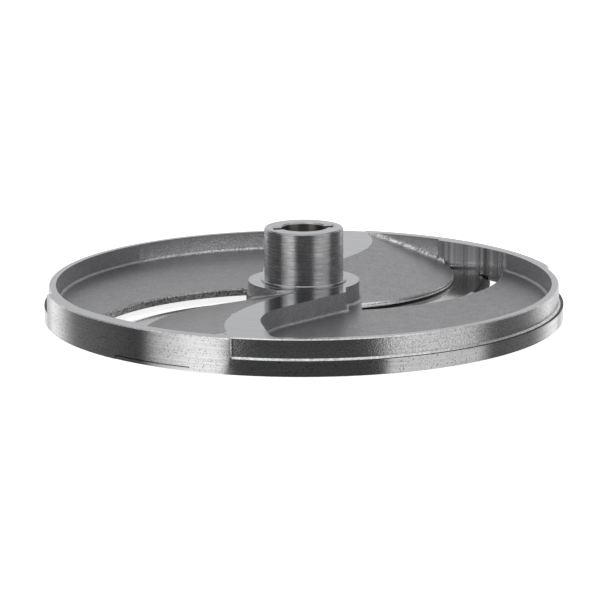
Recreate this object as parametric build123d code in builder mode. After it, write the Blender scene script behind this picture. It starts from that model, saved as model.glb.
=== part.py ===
"""Slicing disc: a cast body with two sloping blade seats, two crescent blades and their screws."""
import os
from math import acos, atan2, cos, degrees, hypot, radians, sin

from build123d import *

os.makedirs("parts", exist_ok=True)

# Rim of the disc: full height over two sectors, set back above a ledge between them
disc_d = 205.0
rim_h = 13.4
rim_wall = 4.7
set_back = 1.9
ledge_z = 5.6
set_back_start = 254.8
set_back_sweep = 119.4
set_back_corner_r = 0.8
ledge_chamfer = 0.7
rim_edge_chamfer = 0.4

# Hub, its flange and the keyed bore
hub_d = 31.2
hub_top = 34.6
hub_edge_chamfer = 0.5
flange_d = 44.0
collar_w = 1.3
collar_h = 0.8
collar_chamfer = 0.35
bore_d = 18.0
bore_chamfer = 0.6
keyway_w = 5.5
keyway_reach = 12.0
keyway_angle = 12.0

# Floors that the food slides over, between the rim and the arms
floor_top = 5.6
floor_t = 3.0
floor_chamfer = 1.4
floor_edge_cut = 0.7
under_wall = 1.5

# Trailing side of the arm, from the flange round its elbow to the rim
arm_root = (16.3, -10.0)
arm_heel = (16.3, -23.0)
arm_elbow = (-18.4, -60.3)
arm_tail_angle = 263.95
arm_heel_r = 1.5
arm_elbow_r = 31.0
arm_tail_r = 5.0
heel_root_r = 3.0
arm_core_w = 9.0

# Ramp from the top of the arm down to the lip that the blade is held under
ramp_heads = ((3.0, -18.0), (-14.1, -36.8), (-28.6, -70.0))
ramp_head_angle = 256.5
ramp_foot_angles = (108.0, 135.0, 170.0, 206.0)
lip_center_x = 0.0
lip_center_in = 47.1
lip_r = 62.5
lip_z = 4.0
ramp_fillet_r = 1.6
ramp_over = 0.25
ramp_under = 0.1
lip_overlap = 0.5
lip_chamfer = 0.4

# Slot behind the blade, and the tapered rim wall at its outer end
slot_center_x = -6.6
slot_center_in = 48.1
slot_r = 75.6
slot_inner_x = -22.6
slot_wall_sweep = 22.6
slot_wall_lag = 1.6
slot_wall_t = 2.1
slot_wall_mid = 0.6
slot_wall_step = 2.0
slot_wall_corner_r = 1.2
slot_wall_blend_r = 30.0
slot_corner_r = 1.5

# Crescent blade, let into the underside and through a notch in the rim
blade_t = 1.7
blade_gap = 4.6
blade_back_x = 21.7
blade_back_in = 34.7
blade_back_r = 67.4
blade_end_in = 3.3
blade_inner_x = -16.5
tang_lag = 5.0
tang_w = 33.4
tang_in = 0.3
tang_len = 30.0
bevel_w = 4.0
bevel_h = 0.95
under_bevel_w = 2.0
under_bevel_h = 0.6
seat_gap = 0.1

# Countersunk screws that hold each blade up against its ramp
screw_d = 3.0
screw_head_d = 6.4
screw_len = 4.0
screw_inset = 5.0
screw_angles = (150.0, 178.0)
socket_flats = 2.0
socket_depth = 1.0
hole_spare = 0.3

# How far cutting shapes run past the faces that they cut, and how near counts as on a line
past = 5.0
near = 0.01

disc_r = disc_d / 2
rim_inner_r = disc_r - rim_wall
hub_r = hub_d / 2
flange_r = flange_d / 2
floor_low = floor_top - floor_t
above = rim_h + past
on_base = (Align.CENTER, Align.CENTER, Align.MIN)
blade_r = slot_r - blade_gap
blade_end_r = disc_r - blade_end_in
lip_center = (lip_center_x, lip_center_in - disc_r)
slot_center = (slot_center_x, slot_center_in - disc_r)
blade_back_center = (blade_back_x, blade_back_in - disc_r)


def polar(radius, angle, center=(0.0, 0.0)):
    """Point at a radius and an angle in degrees about a centre."""
    return (center[0] + radius * cos(radians(angle)), center[1] + radius * sin(radians(angle)))


def meeting(center, radius, around):
    """Angle about the axis at which a circle, on its left side, meets a circle round the axis."""
    away = hypot(*center)
    opening = acos((around**2 + away**2 - radius**2) / (2 * around * away))
    return degrees(atan2(center[1], center[0]) - opening)


def shifted(point, dx):
    """The same point moved along X."""
    return (point[0] + dx, point[1])


def spread(edge):
    """Distance of an edge's middle from the disc's axis."""
    middle = edge @ 0.5
    return Vector(middle.X, middle.Y).length


def off_arc(edge, center, radius):
    """Distance of an edge's middle from an arc, about a centre on either side of the disc."""
    middle = edge @ 0.5
    return min(
        abs(Vector(middle.X - side * center[0], middle.Y - side * center[1]).length - radius)
        for side in (1, -1)
    )


arm_tail = polar(disc_r, arm_tail_angle)
lip_end = meeting(lip_center, lip_r, rim_inner_r - slot_wall_t)
slot_wall_end = lip_end + slot_wall_lag
slot_wall_start = slot_wall_end - slot_wall_sweep
tang_angle = lip_end + tang_lag

# Plan of the front arm's core, running inside the flange and past the rim wall
with BuildSketch() as arm:
    with BuildLine():
        trailing_side = FilletPolyline(
            arm_root, arm_heel, arm_elbow, arm_tail, radius=(arm_heel_r, arm_elbow_r)
        )
        Polyline(
            trailing_side @ 1,
            shifted(arm_tail, -arm_core_w),
            shifted(arm_elbow, -arm_core_w),
            shifted(arm_heel, -arm_core_w),
            shifted(arm_root, -arm_core_w),
            trailing_side @ 0,
        )
    make_face()

# Plan of the rim wall where it tapers inwards along the outer end of the slot
with BuildSketch() as slot_wall:
    with BuildLine():
        taper = ThreePointArc(
            polar(rim_inner_r, slot_wall_start),
            polar(rim_inner_r - slot_wall_t * slot_wall_mid, (slot_wall_start + slot_wall_end) / 2),
            polar(rim_inner_r - slot_wall_t, slot_wall_end),
        )
        Polyline(
            taper @ 1,
            polar(rim_inner_r + past, slot_wall_end + slot_wall_step),
            polar(rim_inner_r + past, slot_wall_start),
            taper @ 0,
        )
    make_face()

# Plan of the open space between the two arms, on the left of the hub
with BuildSketch() as spaces:
    Circle(rim_inner_r)
    Circle(flange_r, mode=Mode.SUBTRACT)
    with PolarLocations(0, 2):
        add(arm.sketch, mode=Mode.SUBTRACT)

with BuildSketch() as left_space:
    add(spaces.faces().sort_by(Axis.X)[0])
    tail_corner = left_space.vertices().sort_by_distance((-arm_tail[0], -arm_tail[1]))[0]
    fillet(tail_corner, radius=arm_tail_r)
    heel_corner = left_space.vertices().sort_by_distance((-arm_heel[0], -arm_root[1]))[0]
    fillet(heel_corner, radius=heel_root_r)

# The same space less the tapered wall, which takes the ramp, the slot and the floor
with BuildSketch() as walled_space:
    add(left_space.sketch)
    add(slot_wall.sketch, mode=Mode.SUBTRACT)
    step_corners = walled_space.vertices().sort_by_distance(polar(rim_inner_r, slot_wall_end))[:2]
    fillet(step_corners, radius=slot_wall_corner_r)
    taper_start = walled_space.vertices().sort_by_distance(polar(rim_inner_r, slot_wall_start))[0]
    fillet(taper_start, radius=slot_wall_blend_r)

# Floor pocket: everything above the floor on the far side of the lip
with BuildPart() as floor_pocket:
    with BuildSketch(Plane.XY.offset(floor_top)):
        add(walled_space.sketch)
        with Locations(lip_center):
            Circle(lip_r, mode=Mode.SUBTRACT)
    extrude(amount=above - floor_top)
    floor_rims = floor_pocket.faces().sort_by(Axis.Z)[0].edges().filter_by(
        lambda edge: abs((edge @ 0.5 - Vector(*lip_center, floor_top)).length - lip_r) > near
    )
    chamfer(floor_rims, length=floor_chamfer)

# Ramp pocket: everything above the sloping face between the arm's top and the lip
lip_points = [polar(lip_r, angle, lip_center) for angle in ramp_foot_angles]


def ramp_line(share):
    """Curve across the ramp, at a share of the way from the lip to the top of the arm."""
    height = lip_z + share * (rim_h - lip_z)
    points = []
    for foot, head in zip(lip_points, (*ramp_heads, polar(disc_r, ramp_head_angle))):
        x = foot[0] + share * (head[0] - foot[0])
        y = foot[1] + share * (head[1] - foot[1])
        points.append((x, y, height))
    return Spline(*points)


ramp_face = Face.make_surface_from_curves(ramp_line(-ramp_under), ramp_line(1 + ramp_over))

with BuildPart() as ramp_pocket:
    with BuildSketch():
        add(walled_space.sketch)
        with Locations(lip_center):
            Circle(lip_r + lip_overlap, mode=Mode.INTERSECT)
    extrude(amount=above)
    extrude(ramp_face, amount=2 * above, dir=(0, 0, 1), mode=Mode.INTERSECT)
    ramp_walls = ramp_pocket.faces().sort_by(Axis.Z)[0].edges().filter_by(
        lambda edge: spread(edge) > rim_inner_r - slot_wall_t - near or abs(spread(edge) - flange_r) < near
    )
    fillet(ramp_walls, radius=ramp_fillet_r)

# Slot that the slices pass through, between the lip and the floor's edge
with BuildPart() as slot_cut:
    with BuildSketch(Plane.XY.offset(-past)) as slot_plan:
        add(walled_space.sketch)
        with Locations(slot_center):
            Circle(slot_r, mode=Mode.INTERSECT)
        with Locations(lip_center):
            Circle(lip_r, mode=Mode.SUBTRACT)
        with Locations((slot_inner_x, 0)):
            Rectangle(disc_d, 2 * disc_d, align=(Align.MAX, Align.CENTER), mode=Mode.INTERSECT)
        inner_corners = slot_plan.vertices().group_by(Axis.X)[-1]
        fillet(inner_corners, radius=slot_corner_r)
    extrude(amount=above + past)

# Bevel along the floor's edge at the slot
with BuildPart() as floor_bevel:
    with Locations((*slot_center, floor_low)):
        Cone(
            slot_r + floor_edge_cut - floor_t,
            slot_r + floor_edge_cut + past,
            floor_t + past,
            align=on_base,
        )
    with BuildSketch(Plane.XY.offset(floor_low)):
        add(walled_space.sketch)
        with Locations(lip_center):
            Circle(lip_r, mode=Mode.SUBTRACT)
        with Locations((slot_inner_x, 0)):
            Rectangle(disc_d, 2 * disc_d, align=(Align.MAX, Align.CENTER), mode=Mode.INTERSECT)
    extrude(amount=floor_t + past, mode=Mode.INTERSECT)

# Recess under the floor, which sets the thickness of a slice
with BuildPart() as under_recess:
    with BuildSketch(Plane.XY.offset(-past)) as recess_plan:
        add(left_space.sketch)
        offset(amount=-under_wall)
        with Locations(slot_center):
            Circle(slot_r - lip_overlap, mode=Mode.SUBTRACT)
    extrude(amount=floor_low + past)

# Set-back of the rim above its ledge
with BuildPart() as rim_cut:
    with BuildSketch(Plane.XY.offset(ledge_z)) as rim_plan:
        with BuildLine():
            inner_arc = CenterArc((0, 0), disc_r - set_back, set_back_start, set_back_sweep)
            outer_arc = CenterArc((0, 0), disc_r + past, set_back_start, set_back_sweep)
            Line(inner_arc @ 0, outer_arc @ 0)
            Line(inner_arc @ 1, outer_arc @ 1)
        make_face()
        wall_ends = rim_plan.vertices().sort_by_distance((0, 0, ledge_z))[:2]
        fillet(wall_ends, radius=set_back_corner_r)
    extrude(amount=above - ledge_z)
    ledge_edges = rim_cut.faces().sort_by(Axis.Z)[0].edges().filter_by(
        lambda edge: spread(edge) < disc_r + past - near
    )
    chamfer(ledge_edges, length=ledge_chamfer)

# Plan of the left blade: a crescent with a square tang, trimmed round just inside the rim
with BuildSketch() as blade_plan:
    with Locations(slot_center):
        Circle(blade_r)
    Circle(blade_end_r, mode=Mode.INTERSECT)
    with Locations((blade_inner_x, 0)):
        Rectangle(disc_d, 2 * disc_d, align=(Align.MAX, Align.CENTER), mode=Mode.INTERSECT)
    with Locations(Location((0, 0, 0), (0, 0, tang_angle))):
        with Locations((disc_r, 0)):
            Rectangle(tang_len, tang_w, align=(Align.MAX, Align.CENTER))
    Circle(disc_r - tang_in, mode=Mode.INTERSECT)
    with Locations(blade_back_center):
        Circle(blade_back_r, mode=Mode.SUBTRACT)

# Seat for the left blade, open below and running out through the rim at the tang
with BuildPart() as blade_seat:
    with BuildSketch(Plane.XY.offset(-past)):
        add(blade_plan.sketch)
        offset(amount=seat_gap)
        with Locations(Location((0, 0, 0), (0, 0, tang_angle))):
            with Locations((disc_r + past, 0)):
                Rectangle(tang_len, tang_w + 2 * seat_gap, align=(Align.MAX, Align.CENTER))
        with Locations(blade_back_center):
            Circle(blade_back_r - seat_gap, mode=Mode.SUBTRACT)
    extrude(amount=blade_t + past)

# Metal ground away above and below the cutting edge
with BuildPart() as edge_grind:
    with Locations((*slot_center, blade_t - bevel_h)):
        Cylinder(blade_r + past, bevel_h, align=on_base)
        Cone(blade_r, blade_r - bevel_w, bevel_h, align=on_base, mode=Mode.SUBTRACT)
    with Locations(slot_center):
        Cylinder(blade_r + past, under_bevel_h, align=on_base)
        Cone(blade_r - under_bevel_w, blade_r, under_bevel_h, align=on_base, mode=Mode.SUBTRACT)

screw_points = [polar(blade_back_r + screw_inset, angle, blade_back_center) for angle in screw_angles]

# Left blade, with a countersunk hole for each screw
with BuildPart() as blade:
    add(blade_plan.sketch)
    extrude(amount=blade_t)
    add(edge_grind.part, mode=Mode.SUBTRACT)
    with Locations(*screw_points):
        Cone(screw_head_d / 2, screw_d / 2, blade_t, align=on_base, mode=Mode.SUBTRACT)

# Screws of both blades, with hexagon sockets, driven from the cutting face
with BuildPart() as blade_screws:
    with PolarLocations(0, 2):
        with Locations(*screw_points):
            Cone(screw_head_d / 2, screw_d / 2, blade_t, align=on_base)
            Cylinder(screw_d / 2, screw_len, align=on_base)
    with BuildSketch():
        with PolarLocations(0, 2):
            with Locations(*screw_points):
                RegularPolygon(socket_flats / 2, 6, major_radius=False)
    extrude(amount=socket_depth, mode=Mode.SUBTRACT)

# Cast body: rim, two arms, two floors and hub in one piece
with BuildPart() as disc_body:
    Cylinder(disc_r, rim_h, align=on_base)
    with Locations((0, 0, rim_h)):
        Cylinder(hub_r + collar_w, collar_h, align=on_base)
    chamfer(disc_body.edges().group_by(Axis.Z)[-1], length=collar_chamfer)
    Cylinder(hub_r, hub_top, align=on_base)
    chamfer(disc_body.edges().group_by(Axis.Z)[-1], length=hub_edge_chamfer)
    with BuildSketch():
        Circle(bore_d / 2)
        Rectangle(2 * keyway_reach, keyway_w, rotation=keyway_angle)
    extrude(amount=hub_top, mode=Mode.SUBTRACT)
    bore_edges = disc_body.edges().group_by(Axis.Z)[-1].filter_by(
        lambda edge: spread(edge) < keyway_reach + near
    )
    chamfer(bore_edges, length=bore_chamfer)
    with PolarLocations(0, 2):
        add(rim_cut.part, mode=Mode.SUBTRACT)
    rim_edges = disc_body.edges().filter_by(
        lambda edge: abs((edge @ 0.5).Z - rim_h) < near and spread(edge) > rim_inner_r
    )
    chamfer(rim_edges, length=rim_edge_chamfer)
    with PolarLocations(0, 2):
        for cutter in (floor_pocket, ramp_pocket, slot_cut, floor_bevel, under_recess, blade_seat):
            add(cutter.part, mode=Mode.SUBTRACT)
        with Locations(*screw_points):
            Cylinder(screw_d / 2, screw_len + hole_spare, align=on_base, mode=Mode.SUBTRACT)
    lip_edges = disc_body.edges().filter_by(
        lambda edge: off_arc(edge, lip_center, lip_r) < near and abs((edge @ 0.5).Z - lip_z) < lip_overlap
    )
    chamfer(lip_edges.filter_by(lambda edge: edge.length > lip_r), length=lip_chamfer)
disc_body.part.label = "disc_body"
export_step(disc_body.part, "parts/disc_body.step")

with BuildPart() as front_blade:
    add(blade.part)
front_blade.part.label = "front_blade"
export_step(front_blade.part, "parts/front_blade.step")

with BuildPart() as rear_blade:
    add(blade.part.rotate(Axis.Z, 180))
rear_blade.part.label = "rear_blade"
export_step(rear_blade.part, "parts/rear_blade.step")

blade_screws.part.label = "blade_screws"
export_step(blade_screws.part, "parts/blade_screws.step")
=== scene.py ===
import math

import bpy
from mathutils import Matrix, Vector

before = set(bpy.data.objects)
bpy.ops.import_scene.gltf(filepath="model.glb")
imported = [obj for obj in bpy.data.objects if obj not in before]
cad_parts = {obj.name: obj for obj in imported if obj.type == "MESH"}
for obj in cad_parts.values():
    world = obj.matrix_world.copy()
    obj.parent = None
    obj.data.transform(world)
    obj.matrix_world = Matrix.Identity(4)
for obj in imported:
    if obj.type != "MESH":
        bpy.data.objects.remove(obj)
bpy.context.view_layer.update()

# The body is one stainless casting. Its pockets keep the grainy skin of the mould, the rim and
# the hub are turned, the walls beside the slots are milled, and the rim's top, the arms and
# the flange are ground flat. All sizes here are in metres.
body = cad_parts["disc_body"]
RIM_TOP = 0.0134
RIM_OUTER = 0.1025
RIM_SKIN = 0.0031
SET_BACK = 0.0012
EDGE_CUT = 0.0005
LEDGE_TOP = 0.0056
RAMP_SEAM_R = 0.0937
BACK_FROM = 0.070
SLOT_WALL_R = 0.0950
SLOT_WALL_MIDDLE = math.radians(42.0)
SLOT_WALL_HALF = math.radians(11.6)
COLLAR_R = 0.0169
BORE_REACH = 0.0121
FLOOR_TOP = 0.0056
FOOT_TOP = 0.0070
LIP_TOP = 0.0040
LIP_MID = 0.0033
LIP_LOW = 0.0025
LIP_GAP = 0.0023
BLADE_TOP = 0.0017
LIP_CENTER = Vector((0.0, -0.0554))
LIP_R = 0.0625
SLOT_CENTER = Vector((-0.0066, -0.0544))
SLOT_R = 0.0756
TOUCH = 0.0001
FLAT = 0.99
BEVEL = 0.9
CHAMFER = math.sqrt(0.5)
STEEP = 0.1


def new_group(name, inputs, outputs):
    """Empty shader node group with number inputs and outputs; gives it with its two end nodes."""
    group = bpy.data.node_groups.new(name, "ShaderNodeTree")
    for label, value in inputs:
        socket = group.interface.new_socket(label, in_out="INPUT", socket_type="NodeSocketFloat")
        socket.default_value = value
    for label in outputs:
        group.interface.new_socket(label, in_out="OUTPUT", socket_type="NodeSocketFloat")
    return group, group.nodes.new("NodeGroupInput"), group.nodes.new("NodeGroupOutput")


def feed(tree, value, socket):
    """Sets a socket to a plain number, or links it to another socket."""
    if isinstance(value, (int, float)):
        socket.default_value = value
    else:
        tree.links.new(value, socket)


def math_node(tree, operation, first, second=0.0):
    """Math node on sockets or plain numbers; gives its result."""
    node = tree.nodes.new("ShaderNodeMath")
    node.operation = operation
    feed(tree, first, node.inputs[0])
    feed(tree, second, node.inputs[1])
    return node.outputs[0]


def blend(tree, share, first, second):
    """Number between two others by a share; each is a socket or a plain number."""
    node = tree.nodes.new("ShaderNodeMix")
    feed(tree, share, node.inputs["Factor"])
    feed(tree, first, node.inputs["A"])
    feed(tree, second, node.inputs["B"])
    return node.outputs["Result"]


def noise_node(tree, vector, scale, detail, rough):
    """Noise texture; gives its value."""
    node = tree.nodes.new("ShaderNodeTexNoise")
    tree.links.new(vector, node.inputs["Vector"])
    feed(tree, scale, node.inputs["Scale"])
    node.inputs["Detail"].default_value = detail
    node.inputs["Roughness"].default_value = rough
    return node.outputs["Fac"]


def stretch(tree, value, low, high, out_low=0.0, out_high=1.0):
    """Maps a range onto another, with clamped ends."""
    node = tree.nodes.new("ShaderNodeMapRange")
    tree.links.new(value, node.inputs["Value"])
    feed(tree, low, node.inputs["From Min"])
    feed(tree, high, node.inputs["From Max"])
    feed(tree, out_low, node.inputs["To Min"])
    feed(tree, out_high, node.inputs["To Max"])
    return node.outputs["Result"]


# Mould grain: fine grains with coarser dips between them, per metre
sand, sand_in, sand_out = new_group(
    "mould_grain", [("Grain", 1300.0), ("Lump", 260.0)], ["Height", "Shade"]
)
LUMP_SHARE = 0.3
SHADE_FROM, SHADE_TO = 0.36, 0.64
sand_place = sand.nodes.new("ShaderNodeTexCoord").outputs["Object"]
grains = noise_node(sand, sand_place, sand_in.outputs["Grain"], detail=2.0, rough=0.6)
lumps = noise_node(sand, sand_place, sand_in.outputs["Lump"], detail=3.0, rough=0.55)
sand_height = blend(sand, LUMP_SHARE, grains, lumps)
sand.links.new(sand_height, sand_out.inputs["Height"])
sand.links.new(stretch(sand, sand_height, SHADE_FROM, SHADE_TO), sand_out.inputs["Shade"])

# Turning marks: rings round the disc's axis by height or radius, or streaks across them by the
# turn, with grit torn out along them
marks, marks_in, marks_out = new_group(
    "turning_marks",
    [
        ("Pitch", 5200.0), ("Along Height", 1.0), ("Along Radius", 0.0), ("Along Turn", 0.0),
        ("Grit", 0.5),
    ],
    ["Height", "Shade", "Pits"],
)
GRIT_SCALE = 1800.0
RING_BREAKS = 2.0
BAND_SHARE = 0.35
PIT_FROM, PIT_TO = 0.33, 0.4
marks_place = marks.nodes.new("ShaderNodeTexCoord").outputs["Object"]
axes = marks.nodes.new("ShaderNodeSeparateXYZ")
marks.links.new(marks_place, axes.inputs[0])
x_square = math_node(marks, "POWER", axes.outputs["X"], 2.0)
y_square = math_node(marks, "POWER", axes.outputs["Y"], 2.0)
radius = math_node(marks, "SQRT", math_node(marks, "ADD", x_square, y_square))
by_height = math_node(marks, "MULTIPLY", axes.outputs["Z"], marks_in.outputs["Along Height"])
by_radius = math_node(marks, "MULTIPLY", radius, marks_in.outputs["Along Radius"])
angle = math_node(marks, "ARCTAN2", axes.outputs["Y"], axes.outputs["X"])
by_turn = math_node(marks, "MULTIPLY", angle, marks_in.outputs["Along Turn"])
reach = math_node(marks, "ADD", math_node(marks, "ADD", by_height, by_radius), by_turn)
depth = math_node(marks, "MULTIPLY", reach, marks_in.outputs["Pitch"])
turn = math_node(marks, "MULTIPLY", angle, RING_BREAKS)
ring_place = marks.nodes.new("ShaderNodeCombineXYZ")
marks.links.new(depth, ring_place.inputs["X"])
marks.links.new(turn, ring_place.inputs["Y"])
rings = noise_node(marks, ring_place.outputs[0], 1.0, detail=3.0, rough=0.7)
band_place = marks.nodes.new("ShaderNodeCombineXYZ")
marks.links.new(math_node(marks, "MULTIPLY", depth, BAND_SHARE), band_place.inputs["X"])
marks.links.new(turn, band_place.inputs["Y"])
bands = noise_node(marks, band_place.outputs[0], 1.0, detail=2.0, rough=0.5)
grit = noise_node(marks, marks_place, GRIT_SCALE, detail=2.0, rough=0.6)
marks.links.new(blend(marks, marks_in.outputs["Grit"], rings, grit), marks_out.inputs["Height"])
shade = blend(marks, marks_in.outputs["Grit"], bands, grit)
marks.links.new(stretch(marks, shade, SHADE_FROM, SHADE_TO), marks_out.inputs["Shade"])
marks.links.new(stretch(marks, grit, PIT_FROM, PIT_TO, 1.0, 0.0), marks_out.inputs["Pits"])

# Round corner: turns the normal from upright to level between two heights, as on a cast fillet
corner, corner_in, corner_out = new_group(
    "round_corner", [("Upright At", FLOOR_TOP), ("Level At", FOOT_TOP)], []
)
corner.interface.new_socket("Normal", in_out="OUTPUT", socket_type="NodeSocketVector")
corner_height = corner.nodes.new("ShaderNodeSeparateXYZ")
corner.links.new(corner.nodes.new("ShaderNodeTexCoord").outputs["Object"], corner_height.inputs[0])
level_share = stretch(
    corner, corner_height.outputs["Z"], corner_in.outputs["Upright At"], corner_in.outputs["Level At"]
)
facing = corner.nodes.new("ShaderNodeVectorMath")
facing.operation = "MULTIPLY"
corner.links.new(corner.nodes.new("ShaderNodeNewGeometry").outputs["Normal"], facing.inputs[0])
facing.inputs[1].default_value = (1.0, 1.0, 0.0)
outward = corner.nodes.new("ShaderNodeVectorMath")
outward.operation = "NORMALIZE"
corner.links.new(facing.outputs[0], outward.inputs[0])
rounding = corner.nodes.new("ShaderNodeMix")
rounding.data_type = "VECTOR"
corner.links.new(level_share, rounding.inputs["Factor"])
rounding.inputs["A"].default_value = (0.0, 0.0, 1.0)
corner.links.new(outward.outputs[0], rounding.inputs["B"])
rounded = corner.nodes.new("ShaderNodeVectorMath")
rounded.operation = "NORMALIZE"
corner.links.new(rounding.outputs["Result"], rounded.inputs[0])
corner.links.new(rounded.outputs[0], corner_out.inputs["Normal"])


def steel(name, group, settings, dark, light, rough, bump_depth, bump_strength, grazing=1.0):
    """Bare steel whose grey, roughness and bumps come from a node group; grazing dulls flat angles."""
    material = bpy.data.materials.new(name)
    material.use_nodes = True
    tree = material.node_tree
    shader = tree.nodes["Principled BSDF"]
    shader.inputs["Metallic"].default_value = 1.0
    shader.inputs["Specular Tint"].default_value = (grazing, grazing, grazing, 1.0)
    marking = tree.nodes.new("ShaderNodeGroup")
    marking.node_tree = group
    for label, value in settings.items():
        marking.inputs[label].default_value = value
    color = tree.nodes.new("ShaderNodeMix")
    color.data_type = "RGBA"
    tree.links.new(marking.outputs["Shade"], color.inputs["Factor"])
    color.inputs["A"].default_value = (*dark, 1.0)
    color.inputs["B"].default_value = (*light, 1.0)
    tree.links.new(color.outputs["Result"], shader.inputs["Base Color"])
    tree.links.new(stretch(tree, marking.outputs["Shade"], 0.0, 1.0, *rough), shader.inputs["Roughness"])
    bumps = tree.nodes.new("ShaderNodeBump")
    bumps.inputs["Distance"].default_value = bump_depth
    bumps.inputs["Strength"].default_value = bump_strength
    tree.links.new(marking.outputs["Height"], bumps.inputs["Height"])
    tree.links.new(bumps.outputs["Normal"], shader.inputs["Normal"])
    return material


DRAWN_OUT = 0.9
DRAWN_TURN = 0.25


def lathe_turned(material):
    """Draws reflections out along a turned wall's height, as the tool's grooves do."""
    shader = material.node_tree.nodes["Principled BSDF"]
    shader.inputs["Anisotropic"].default_value = DRAWN_OUT
    shader.inputs["Anisotropic Rotation"].default_value = DRAWN_TURN


FACING = {"Along Height": 0.0, "Along Radius": 1.0}


def pitted(material, pit_color):
    """Darkens a turned finish where grit was torn out of it."""
    tree = material.node_tree
    shader = tree.nodes["Principled BSDF"]
    marking = next(node for node in tree.nodes if node.type == "GROUP")
    color = tree.nodes.new("ShaderNodeMix")
    color.data_type = "RGBA"
    tree.links.new(marking.outputs["Pits"], color.inputs["Factor"])
    tree.links.new(shader.inputs["Base Color"].links[0].from_socket, color.inputs["A"])
    color.inputs["B"].default_value = (*pit_color, 1.0)
    tree.links.new(color.outputs["Result"], shader.inputs["Base Color"])


def rounded_off(material, upright_at, level_at):
    """Shades a narrow face as a round corner between two heights."""
    tree = material.node_tree
    rounding = tree.nodes.new("ShaderNodeGroup")
    rounding.node_tree = corner
    rounding.inputs["Upright At"].default_value = upright_at
    rounding.inputs["Level At"].default_value = level_at
    bumps = next(node for node in tree.nodes if node.type == "BUMP")
    tree.links.new(rounding.outputs["Normal"], bumps.inputs["Normal"])


# Black for painted shadow in the gaps between parts.
SHADOW_BLACK = (0.02, 0.02, 0.02)


def paint_shade_band(material, lit_at, dark_at, dark):
    """Paints shade into a finish between two heights, darkening it towards the second."""
    tree = material.node_tree
    shader = tree.nodes["Principled BSDF"]
    height = tree.nodes.new("ShaderNodeSeparateXYZ")
    tree.links.new(tree.nodes.new("ShaderNodeTexCoord").outputs["Object"], height.inputs[0])
    color = tree.nodes.new("ShaderNodeMix")
    color.data_type = "RGBA"
    tree.links.new(stretch(tree, height.outputs["Z"], lit_at, dark_at), color.inputs["Factor"])
    tree.links.new(shader.inputs["Base Color"].links[0].from_socket, color.inputs["A"])
    color.inputs["B"].default_value = (*dark, 1.0)
    tree.links.new(color.outputs["Result"], shader.inputs["Base Color"])


CAST_GRAIN = {"Grain": 1300.0, "Lump": 260.0}
CAST_DARK, CAST_LIGHT = (0.38, 0.38, 0.392), (0.54, 0.54, 0.555)
# A lighter copy of the cast steel's greys, for painted highlights.
HIGHLIT_DARK, HIGHLIT_LIGHT = (0.55, 0.55, 0.555), (0.9, 0.9, 0.905)
cast_skin = steel(
    "cast_skin", sand, CAST_GRAIN,
    dark=CAST_DARK, light=CAST_LIGHT, rough=(0.36, 0.28),
    bump_depth=0.0003, bump_strength=0.45, grazing=0.62,
)
cast_wall = steel(
    "cast_wall", sand, CAST_GRAIN,
    dark=CAST_DARK, light=CAST_LIGHT, rough=(0.55, 0.42),
    bump_depth=0.0004, bump_strength=0.6,
)
# The back wall is a lighter copy of the cast finish: painted highlight near its foot, fading into
# painted shade towards the top.
back_wall = steel(
    "back_wall", sand, CAST_GRAIN,
    dark=HIGHLIT_DARK, light=HIGHLIT_LIGHT, rough=(0.5, 0.34),
    bump_depth=0.0006, bump_strength=0.9,
)
paint_shade_band(back_wall, FOOT_TOP, RIM_TOP, CAST_DARK)
cast_foot = steel(
    "cast_foot", sand, CAST_GRAIN,
    dark=CAST_DARK, light=CAST_LIGHT, rough=(0.42, 0.34),
    bump_depth=0.0004, bump_strength=0.8, grazing=0.8,
)
rounded_off(cast_foot, FLOOR_TOP, FOOT_TOP)
# The rim's foot at the back is lighter than the other feet: a painted highlight along the fillet.
rim_foot = steel(
    "rim_foot", sand, CAST_GRAIN,
    dark=CAST_DARK, light=HIGHLIT_LIGHT, rough=(0.36, 0.28),
    bump_depth=0.0004, bump_strength=0.8,
)
rounded_off(rim_foot, FLOOR_TOP, FOOT_TOP)
# The lip's face is lighter as a painted highlight, and its bottom goes black as a painted shadow in the
# gap above the blade.
cast_lip = steel(
    "cast_lip", sand, CAST_GRAIN,
    dark=HIGHLIT_DARK, light=HIGHLIT_LIGHT, rough=(0.28, 0.22),
    bump_depth=0.0003, bump_strength=0.2,
)
rounded_off(cast_lip, LIP_LOW, LIP_MID)
paint_shade_band(cast_lip, LIP_LOW, LIP_GAP, SHADOW_BLACK)
# The fillet where the ramps meet the rim: cast grain with a much lighter top, as painted highlights
# along it.
seam_highlight = steel(
    "seam_highlight", sand, {"Grain": 1000.0, "Lump": 400.0},
    dark=(0.3, 0.3, 0.305), light=(0.85, 0.85, 0.855), rough=(0.36, 0.26),
    bump_depth=0.0005, bump_strength=0.8,
)
sawn_edge = steel(
    "sawn_edge", sand, {"Grain": 1100.0, "Lump": 300.0},
    dark=(0.14, 0.14, 0.142), light=(0.64, 0.64, 0.645), rough=(0.5, 0.32),
    bump_depth=0.0007, bump_strength=0.9,
)
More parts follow.
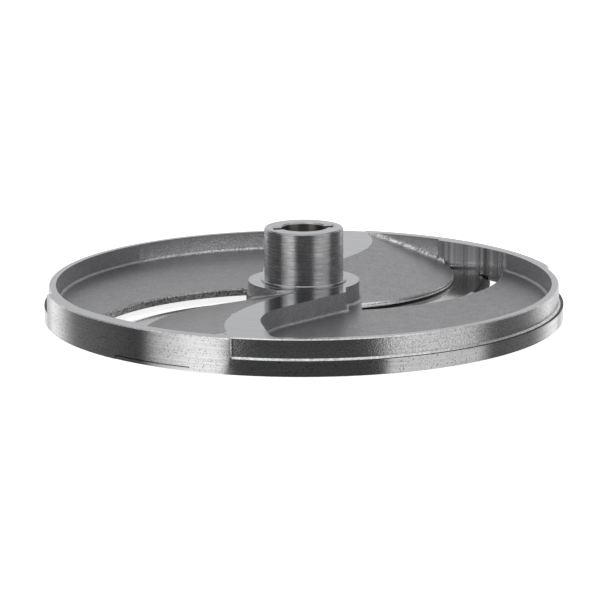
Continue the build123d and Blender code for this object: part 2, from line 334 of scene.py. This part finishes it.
# Chamfered edges: rubbed bright by wear, and lighter still as a painted highlight along them.
edge_wear_and_highlight = steel(
    "edge_wear_and_highlight", sand, {"Grain": 1100.0, "Lump": 400.0},
    dark=HIGHLIT_DARK, light=HIGHLIT_LIGHT, rough=(0.32, 0.24),
    bump_depth=0.0003, bump_strength=0.4,
)
ground_land = steel(
    "ground_land", marks, {"Pitch": 2600.0, "Grit": 0.3, **FACING},
    dark=(0.35, 0.355, 0.38), light=(0.41, 0.416, 0.44), rough=(0.12, 0.09),
    bump_depth=0.00002, bump_strength=0.25,
)
turned_rim = steel(
    "turned_rim", marks, {"Pitch": 4200.0, "Grit": 0.3},
    dark=(0.49, 0.49, 0.496), light=(0.59, 0.59, 0.598), rough=(0.25, 0.2),
    bump_depth=0.00005, bump_strength=0.2,
)
pitted(turned_rim, (0.15, 0.15, 0.153))
lathe_turned(turned_rim)
rough_rim = steel(
    "rough_rim", marks, {"Pitch": 4200.0, "Grit": 0.8},
    dark=(0.38, 0.38, 0.385), light=(0.7, 0.7, 0.705), rough=(0.34, 0.24),
    bump_depth=0.00012, bump_strength=0.5,
)
lathe_turned(rough_rim)
ledge_face = steel(
    "ledge_face", marks, {"Pitch": 4200.0, "Grit": 0.3, **FACING},
    dark=(0.4, 0.4, 0.406), light=(0.5, 0.5, 0.508), rough=(0.25, 0.2),
    bump_depth=0.00004, bump_strength=0.3, grazing=0.2,
)
milled_wall = steel(
    "milled_wall", marks, {"Pitch": 900.0, "Along Height": 0.0, "Along Turn": RIM_OUTER, "Grit": 0.15},
    dark=(0.3, 0.3, 0.305), light=(0.95, 0.95, 0.955), rough=(0.32, 0.2),
    bump_depth=0.00015, bump_strength=0.5,
)
turned_hub = steel(
    "turned_hub", marks, {"Pitch": 5200.0, "Grit": 0.25},
    dark=(0.36, 0.36, 0.366), light=(0.66, 0.66, 0.668), rough=(0.34, 0.26),
    bump_depth=0.00008, bump_strength=0.5, grazing=0.75,
)
lathe_turned(turned_hub)
turned_bore = steel(
    "turned_bore", marks, {"Pitch": 5200.0, "Grit": 0.3},
    dark=(0.2, 0.193, 0.186), light=(0.33, 0.32, 0.31), rough=(0.4, 0.32),
    bump_depth=0.00006, bump_strength=0.4,
)
lathe_turned(turned_bore)
turned_face = steel(
    "turned_face", marks, {"Pitch": 3000.0, "Grit": 0.3, **FACING},
    dark=(0.44, 0.44, 0.448), light=(0.56, 0.56, 0.568), rough=(0.28, 0.22),
    bump_depth=0.00004, bump_strength=0.4,
)

body_finishes = [
    cast_skin, cast_wall, back_wall, milled_wall, cast_foot, rim_foot, cast_lip, seam_highlight, sawn_edge,
    edge_wear_and_highlight, ground_land, turned_rim, rough_rim, ledge_face, turned_hub, turned_bore, turned_face,
]


def off_circle(spot, center, radius):
    """Distance of a spot from a circle that stands on both sides of the disc, half a turn apart."""
    return min(abs((side * spot.xy - center).length - radius) for side in (1, -1))


def wall_finish(spot, out):
    """Finish of an upright wall: milled beside the slots, rough at the back with painted highlight and
    shade, as cast elsewhere.
    """
    turn = math.atan2(spot.y, spot.x) - SLOT_WALL_MIDDLE
    off_middle = abs((turn + math.pi / 2) % math.pi - math.pi / 2)
    if out > SLOT_WALL_R and off_middle < SLOT_WALL_HALF:
        return milled_wall
    return back_wall if spot.y > BACK_FROM and out > RAMP_SEAM_R else cast_wall


def body_finish(spot, normal):
    """Finish of a face of the body, from its middle and the way that it faces."""
    out = math.hypot(spot.x, spot.y)
    upright = abs(normal.z) < STEEP
    sloping = STEEP < normal.z < FLAT
    if normal.z > FLAT and spot.z > RIM_TOP - TOUCH:
        return ground_land
    if out < BORE_REACH:
        return turned_hub if sloping else turned_bore
    if out < COLLAR_R + TOUCH and spot.z > RIM_TOP + TOUCH:
        return turned_hub if upright else ground_land
    if out > RIM_OUTER - RIM_SKIN:
        if normal.z > FLAT and abs(spot.z - LEDGE_TOP) < TOUCH:
            return ledge_face
        at_edge = abs(spot.z - RIM_TOP) < EDGE_CUT or LEDGE_TOP - TOUCH < spot.z < FOOT_TOP
        if at_edge and normal.z > STEEP:
            return edge_wear_and_highlight
        if upright and normal.xy.dot(spot.xy) < BEVEL * out:
            return edge_wear_and_highlight
        return rough_rim if out < RIM_OUTER - SET_BACK and upright else turned_rim
    if normal.z < -FLAT and spot.z < TOUCH:
        return turned_face
    if upright and BLADE_TOP < spot.z < LIP_TOP + TOUCH and off_circle(spot, LIP_CENTER, LIP_R) < TOUCH:
        return cast_lip
    under_floor = spot.z < FLOOR_TOP - TOUCH
    if under_floor and STEEP < normal.z < BEVEL and off_circle(spot, LIP_CENTER, LIP_R) < EDGE_CUT:
        return edge_wear_and_highlight
    if under_floor and abs(normal.z) < FLAT and off_circle(spot, SLOT_CENTER, SLOT_R) < EDGE_CUT:
        return sawn_edge
    if sloping and abs(normal.z - CHAMFER) < 1.0 - FLAT and spot.z < FOOT_TOP:
        # At the back, the rim's foot takes the painted highlight.
        return rim_foot if out > RAMP_SEAM_R and spot.y > BACK_FROM else cast_foot
    if sloping and out > RAMP_SEAM_R:
        return seam_highlight
    return wall_finish(spot, out) if upright else cast_skin


body.data.materials.clear()
for finish in body_finishes:
    body.data.materials.append(finish)
for face in body.data.polygons:
    face.material_index = body_finishes.index(body_finish(face.center, face.normal))
    face.use_smooth = True

# The two crescent blades are hardened stainless strip, ground to an edge, polished and screwed
# up into seats in the casting. Their outer ends are turned flush with the rim.
polished_blade = steel(
    "polished_blade", sand, {"Grain": 2200.0, "Lump": 120.0},
    dark=(0.36, 0.36, 0.368), light=(0.44, 0.44, 0.448), rough=(0.12, 0.09),
    bump_depth=0.00002, bump_strength=0.3,
)
TANG_SKIN = 0.0008
# Painted shadow along the top of each tang's end, where it runs under the rim, between these heights.
TANG_SHADOW_FROM, TANG_SHADOW_TO = 0.0011, 0.0014
tang_end = steel(
    "tang_end", marks, {"Pitch": 4200.0, "Grit": 0.3},
    dark=(0.45, 0.45, 0.456), light=(0.62, 0.62, 0.628), rough=(0.27, 0.2),
    bump_depth=0.00006, bump_strength=0.3,
)
lathe_turned(tang_end)
paint_shade_band(tang_end, TANG_SHADOW_FROM, TANG_SHADOW_TO, SHADOW_BLACK)
for name in ("front_blade", "rear_blade"):
    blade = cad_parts[name]
    blade.data.materials.clear()
    blade.data.materials.append(polished_blade)
    blade.data.materials.append(tang_end)
    for face in blade.data.polygons:
        out = math.hypot(face.center.x, face.center.y)
        face.material_index = int(out > RIM_OUTER - TANG_SKIN and abs(face.normal.z) < FLAT)

# The blade screws are small countersunk socket screws, turned from plain stainless rod. They
# are driven from below and hold each blade up against its seat.
screw_steel = steel(
    "screw_steel", sand, {"Grain": 3000.0, "Lump": 500.0},
    dark=(0.5, 0.5, 0.508), light=(0.58, 0.58, 0.588), rough=(0.32, 0.28),
    bump_depth=0.00003, bump_strength=0.3,
)
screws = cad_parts["blade_screws"]
screws.data.materials.clear()
screws.data.materials.append(screw_steel)

# The table is a wide white sheet, which takes the disc's shadow and lets reflections
# through to the room behind it.
TABLE_REACH = 6.0
TABLE_DROP = -0.0002
TABLE_GLOW = 0.75
TABLE_WHITE = (0.9, 0.9, 0.9, 1.0)
TABLE_ROUGH = 0.9
table_mesh = bpy.data.meshes.new("table")
table_corners = [
    (x * TABLE_REACH, y * TABLE_REACH, TABLE_DROP) for x, y in ((-1, -1), (1, -1), (1, 1), (-1, 1))
]
table_mesh.from_pydata(table_corners, [], [(0, 1, 2, 3)])
table = bpy.data.objects.new("table", table_mesh)
bpy.context.scene.collection.objects.link(table)
table_white = bpy.data.materials.new("table_white")
table_white.use_nodes = True
tree = table_white.node_tree
shader = tree.nodes["Principled BSDF"]
shader.inputs["Base Color"].default_value = TABLE_WHITE
shader.inputs["Roughness"].default_value = TABLE_ROUGH
shader.inputs["Emission Color"].default_value = (1.0, 1.0, 1.0, 1.0)
path = tree.nodes.new("ShaderNodeLightPath")
glow = math_node(tree, "MULTIPLY", path.outputs["Is Camera Ray"], TABLE_GLOW)
tree.links.new(glow, shader.inputs["Emission Strength"])
clear = tree.nodes.new("ShaderNodeBsdfTransparent")
either = tree.nodes.new("ShaderNodeMixShader")
tree.links.new(path.outputs["Is Glossy Ray"], either.inputs["Fac"])
tree.links.new(shader.outputs[0], either.inputs[1])
tree.links.new(clear.outputs[0], either.inputs[2])
tree.links.new(either.outputs[0], tree.nodes["Material Output"].inputs["Surface"])
table_mesh.materials.append(table_white)

# The room is dark in front, where the camera stands, grey at the sides and white behind and
# overhead. Low down, a grey gap parts the white on either side. The camera itself sees plain
# white. The steps give degrees from the front, and a level.
FRONT_LEVEL = 0.07
SIDE_LEVEL = 0.26
BACKDROP_LEVEL = 0.82
BACKDROP_DIMMED = 0.64
CEILING_LEVEL = 0.9
SIDE_FROM, SIDE_TO = math.radians(75), math.radians(130)
BACKDROP_FROM, BACKDROP_TO = math.radians(124), math.radians(135)
LOW_STEPS = (
    (75, 0.07), (120, 0.22), (128, 0.62), (136, 1.2), (144, 1.4),
    (149, 1.2), (152, 0.6), (156, 0.75), (161, 1.05), (180, 1.05),
)
HORIZON = 0.05
DIM_FROM, DIM_TO = 0.3, 0.6
CEILING_FROM, CEILING_TO = 0.65, 0.85


def levels(tree, value, steps):
    """Level that runs through steps, each a value and its level."""
    first, last = steps[0][0], steps[-1][0]
    fade = tree.nodes.new("ShaderNodeValToRGB")
    tree.links.new(stretch(tree, value, first, last), fade.inputs["Fac"])
    places = [(at - first) / (last - first) for at, level in steps]
    for place in places[1:-1]:
        fade.color_ramp.elements.new(place)
    shades = [level for at, level in steps]
    for element, place, shade in zip(fade.color_ramp.elements, places, shades):
        element.position = place
        element.color = (shade, shade, shade, 1.0)
    return fade.outputs["Color"]


world = bpy.data.worlds.new("room")
bpy.context.scene.world = world
world.use_nodes = True
tree = world.node_tree
axes = tree.nodes.new("ShaderNodeSeparateXYZ")
tree.links.new(tree.nodes.new("ShaderNodeTexCoord").outputs["Generated"], axes.inputs[0])
to_front = math_node(tree, "MULTIPLY", axes.outputs["Y"], -1.0)
bearing = math_node(tree, "ABSOLUTE", math_node(tree, "ARCTAN2", axes.outputs["X"], to_front))
sides = stretch(tree, bearing, SIDE_FROM, SIDE_TO, FRONT_LEVEL, SIDE_LEVEL)
backdrop = stretch(tree, axes.outputs["Z"], DIM_FROM, DIM_TO, BACKDROP_LEVEL, BACKDROP_DIMMED)
high_walls = blend(tree, stretch(tree, bearing, BACKDROP_FROM, BACKDROP_TO), sides, backdrop)
low_walls = levels(tree, math_node(tree, "DEGREES", bearing), LOW_STEPS)
walls = blend(tree, stretch(tree, axes.outputs["Z"], -HORIZON, HORIZON), low_walls, high_walls)
room = blend(tree, stretch(tree, axes.outputs["Z"], CEILING_FROM, CEILING_TO), walls, CEILING_LEVEL)
path = tree.nodes.new("ShaderNodeLightPath")
seen = blend(tree, path.outputs["Is Camera Ray"], room, 1.0)
tree.links.new(seen, tree.nodes["Background"].inputs["Strength"])
tree.nodes["Background"].inputs["Color"].default_value = (1.0, 1.0, 1.0, 1.0)

# Two tall soft boxes stand in front, one on either side of the camera, lit most at the edge
# next to it. They make the bright upright strips on the rim and the hub. Their steps give a
# share of the width, from that edge outwards, and a level.
CARD_LOW = -0.5
CARD_TOP = 1.0


def soft_box(name, inner, outer, strength, steps):
    """Lit card from an inner to an outer edge in plan; steps give its level across that width."""
    mesh = bpy.data.meshes.new(name)
    corners = [(*inner, CARD_LOW), (*outer, CARD_LOW), (*outer, CARD_TOP), (*inner, CARD_TOP)]
    mesh.from_pydata(corners, [], [(0, 1, 2, 3)])
    card = bpy.data.objects.new(name, mesh)
    card.visible_camera = False
    bpy.context.scene.collection.objects.link(card)
    light = bpy.data.materials.new(name)
    light.use_nodes = True
    tree = light.node_tree
    tree.nodes.remove(tree.nodes["Principled BSDF"])
    across = tree.nodes.new("ShaderNodeSeparateXYZ")
    tree.links.new(tree.nodes.new("ShaderNodeTexCoord").outputs["Object"], across.inputs[0])
    lamp = tree.nodes.new("ShaderNodeEmission")
    lamp.inputs["Strength"].default_value = strength
    width = stretch(tree, across.outputs["X"], inner[0], outer[0])
    tree.links.new(levels(tree, width, steps), lamp.inputs["Color"])
    tree.links.new(lamp.outputs[0], tree.nodes["Material Output"].inputs["Surface"])
    mesh.materials.append(light)


LEFT_STEPS = ((0.0, 1.0), (0.12, 1.0), (0.2, 0.8), (0.38, 0.6), (0.83, 0.12), (1.0, 0.05))
RIGHT_STEPS = ((0.0, 0.95), (0.14, 1.0), (0.32, 0.9), (0.56, 0.95), (0.74, 0.3), (1.0, 0.15))
soft_box("left_soft_box", (-0.117, -0.224), (-0.950, -0.347), 1.5, LEFT_STEPS)
soft_box("right_soft_box", (0.149, -0.259), (1.000, -0.084), 1.0, RIGHT_STEPS)

# The camera stands about a metre off, thirteen degrees above the table, with a long lens. Its
# small roll and shift set the disc as it lies in the picture.
DISTANCE = 1.0241
ELEVATION = math.radians(13.101)
ROLL = math.radians(-0.135)
SENSOR_WIDTH = 36.0
LENS = 154.72
SHIFT_X, SHIFT_Y = -0.00653, 0.02052
NEAREST = 0.05
camera = bpy.data.cameras.new("camera")
camera.sensor_width = SENSOR_WIDTH
camera.lens = LENS
camera.shift_x = SHIFT_X
camera.shift_y = SHIFT_Y
camera.clip_start = NEAREST
eye = bpy.data.objects.new("camera", camera)
eye.location = Vector((0.0, -DISTANCE * math.cos(ELEVATION), DISTANCE * math.sin(ELEVATION)))
look = (-eye.location).to_track_quat("-Z", "Y").to_matrix().to_4x4()
eye.rotation_euler = (look @ Matrix.Rotation(ROLL, 4, "Z")).to_euler()
bpy.context.scene.collection.objects.link(eye)
bpy.context.scene.camera = eye
bpy.context.scene.view_settings.view_transform = "Standard"
